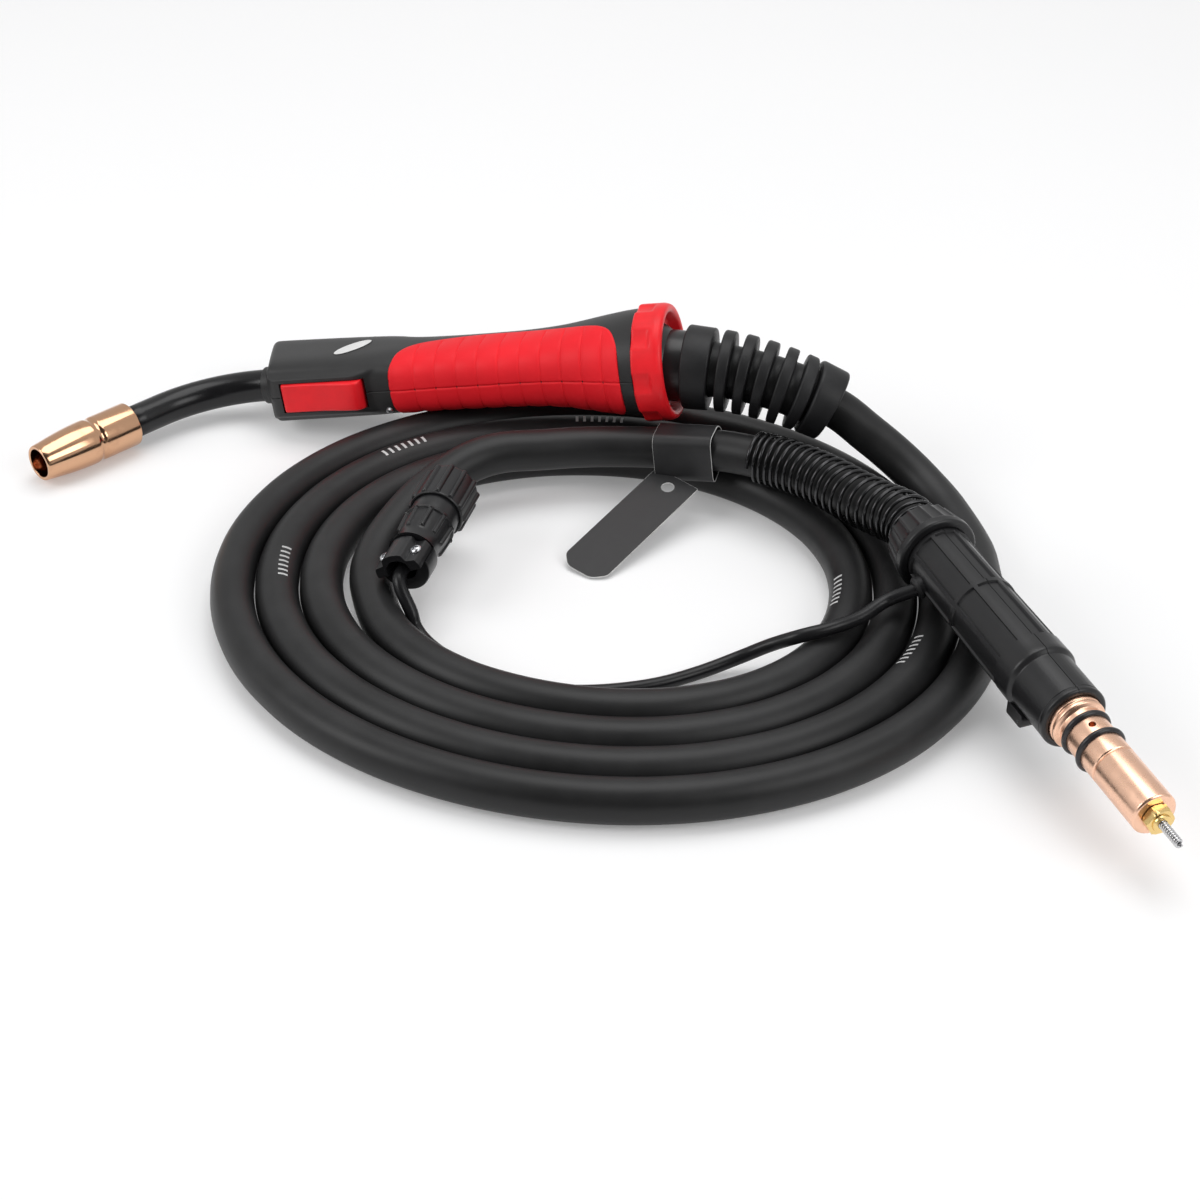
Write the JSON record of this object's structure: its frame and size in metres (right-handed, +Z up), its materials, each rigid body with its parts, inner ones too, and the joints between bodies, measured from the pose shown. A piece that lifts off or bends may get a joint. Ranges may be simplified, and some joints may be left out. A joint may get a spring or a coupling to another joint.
{
  "type": "mig_welding_torch",
  "caption": "Gas cooled MIG welding torch: red and black handle with bent neck and copper nozzle, coiled power cable with support spring, plain power plug, control plug and blank tag.",
  "frame": {"origin": "The middle of the torch's own box, from the nozzle to the swivel knuckle without the cable, on the floor the torch lies on.", "axes": "+X runs from the nozzle end towards the cable, +Z is up, and +Y points away from the coil of cable."},
  "size_m": [0.4082, 0.3218, 0.0686],
  "materials": {
    "copper": "satin copper plate",
    "tip_copper": "bare copper",
    "brass": "bare brass",
    "insulator": "moulded heat resistant plastic",
    "neck_sleeve": "black silicone sleeve, slight sheen",
    "handle_plastic": "moulded, fine spark texture",
    "grip_rubber": "soft red overmould",
    "red_plastic": "moulded red, semi gloss",
    "steel": "zinc plated",
    "cable_rubber": "smooth black rubber",
    "switch_plastic": "moulded",
    "plunger_plastic": "moulded",
    "boot_rubber": "soft moulded rubber",
    "black_steel": "black plated spring wire",
    "plug_plastic": "moulded, satin",
    "pin_copper": "turned, bright",
    "oring_rubber": "greased o-ring",
    "control_plastic": "moulded, semi gloss",
    "insert_plastic": "moulded",
    "tag_card": "printed card, laminated"
  },
  "bodies": {
    "root": {"cable_tail": "cable_rubber", "cable_coil": "cable_rubber", "cable_end": "cable_rubber", "cable_support_spring": "black_steel", "strain_relief_boot": "boot_rubber", "swivel_knuckle": "handle_plastic", "plug_housing_left": "plug_plastic", "plug_housing_right": "plug_plastic", "plug_screws": "steel", "power_pin": "pin_copper", "pin_o_rings": "oring_rubber", "wire_liner": "steel", "lead_grommet": "boot_rubber", "control_lead": "cable_rubber", "clamp_saddle": "control_plastic", "clamp_screws": "steel", "control_backshell": "control_plastic", "control_barrel": "control_plastic", "control_insert": "insert_plastic", "control_pins": "steel", "hang_tag": "tag_card"},
    "handle": {"handle_shell_left": "handle_plastic", "handle_shell_right": "handle_plastic", "grip_left": "grip_rubber", "grip_right": "grip_rubber", "handle_screws": "steel", "neck_adapter": "brass", "inner_cable": "cable_rubber", "gooseneck": "neck_sleeve", "neck_collar": "handle_plastic", "gas_diffuser": "brass", "nozzle_insulator": "insulator", "contact_tip": "tip_copper", "trigger_pin": "steel", "microswitch": "switch_plastic", "trigger_spring": "steel"},
    "trigger": {"trigger": "red_plastic"},
    "plunger": {"switch_plunger": "plunger_plastic"},
    "nozzle": {"gas_nozzle": "copper"},
    "ring_nut": {"ring_nut": "red_plastic"},
    "collar": {"collar_nut": "plug_plastic"},
    "coupling": {"coupling_ring": "control_plastic"},
    "liner_nut": {"liner_nut": "brass"}
  },
  "joints": [
    {"name": "handle_swivel", "type": "hinge", "parent": "root", "child": "handle", "pos_m": [0.10647, -0.01246, 0.04413], "axis": [0.2045, 0.9789, 0], "range_deg": [0, 12]},
    {"name": "trigger_squeeze", "type": "hinge", "parent": "handle", "child": "trigger", "pos_m": [-0.0346, 0.00423, 0.01908], "axis": [-0.1561, 0.1465, 0.9768], "range_deg": [0, 4], "stiffness_Nm_per_rad": 0.8, "springref_deg": -4.01, "deforming": ["trigger_spring"]},
    {"name": "plunger_press", "type": "slide", "parent": "handle", "child": "plunger", "axis": [0.2233, 0.9686, -0.1096], "range_m": [0, 0.00082]},
    {"name": "nozzle_twist", "type": "hinge", "parent": "handle", "child": "nozzle", "pos_m": [-0.10596, -0.00958, 0.00974], "axis": [-0.7113, -0.7028, -0.0083], "continuous": true},
    {"name": "ring_nut_turn", "type": "hinge", "parent": "handle", "child": "ring_nut", "pos_m": [0.11032, -0.01326, 0.04486], "axis": [0.9622, -0.201, 0.184], "continuous": true},
    {"name": "collar_nut_turn", "type": "hinge", "parent": "root", "child": "collar", "pos_m": [0.20813, -0.1238, 0.03194], "axis": [0.3677, -0.9287, -0.048], "continuous": true},
    {"name": "coupling_ring_turn", "type": "hinge", "parent": "root", "child": "coupling", "pos_m": [0.03127, -0.08356, 0.02407], "axis": [0.285, 0.956, 0.0698], "continuous": true},
    {"name": "liner_nut_turn", "type": "hinge", "parent": "root", "child": "liner_nut", "pos_m": [0.26563, -0.26905, 0.02443], "axis": [0.3677, -0.9287, -0.048], "continuous": true}
  ],
  "couplings": [
    {"joint": "plunger_press", "follows": "trigger_squeeze", "m_per_rad": 0.0116}
  ]
}
